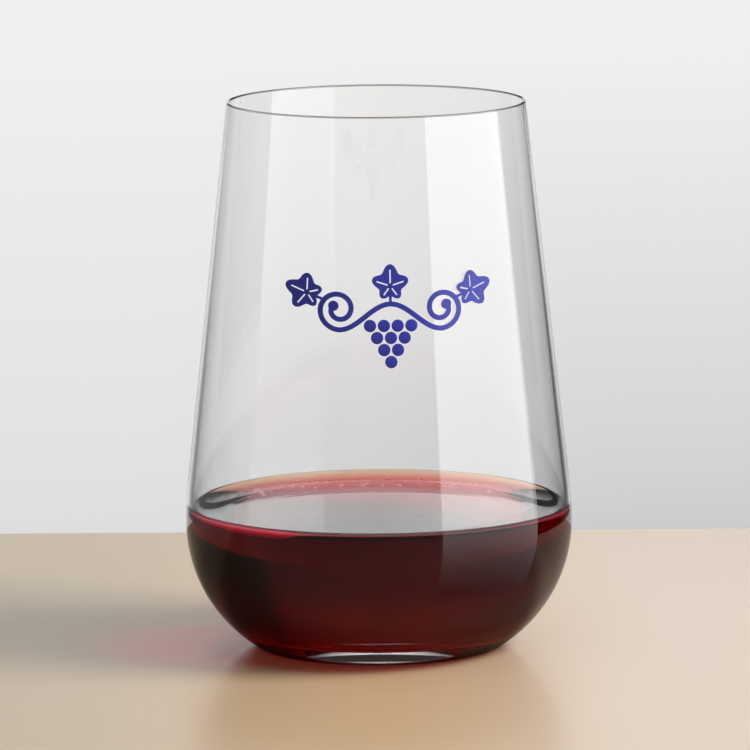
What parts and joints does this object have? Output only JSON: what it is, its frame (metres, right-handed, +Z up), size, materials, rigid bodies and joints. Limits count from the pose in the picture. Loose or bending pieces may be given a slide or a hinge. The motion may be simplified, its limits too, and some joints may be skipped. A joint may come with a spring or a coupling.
{
  "type": "stemless wine glass",
  "caption": "Stemless wine glass with a straight tapering wall, a round bowl on a thick foot, a blue vine ornament on the front and a pour of red wine.",
  "frame": {"origin": "centre of the foot, on the surface that the glass stands on", "axes": "+Z up along the glass's axis of turning, -Y towards the side that carries the printed ornament"},
  "size_m": [0.086, 0.086, 0.122],
  "materials": {
    "clear_glass": "polished, colourless",
    "blue_enamel": "fired enamel colour, satin",
    "red_wine": "clear dark red liquid"
  },
  "bodies": {
    "tumbler": {"glass": "clear_glass", "print": "blue_enamel"},
    "pour": {"wine": "red_wine"}
  },
  "joints": [
    {"name": "wine_swirl", "type": "hinge", "parent": "tumbler", "child": "pour", "pos_m": [0, 0, 0.03], "axis": [0, 0, 1], "continuous": true}
  ]
}
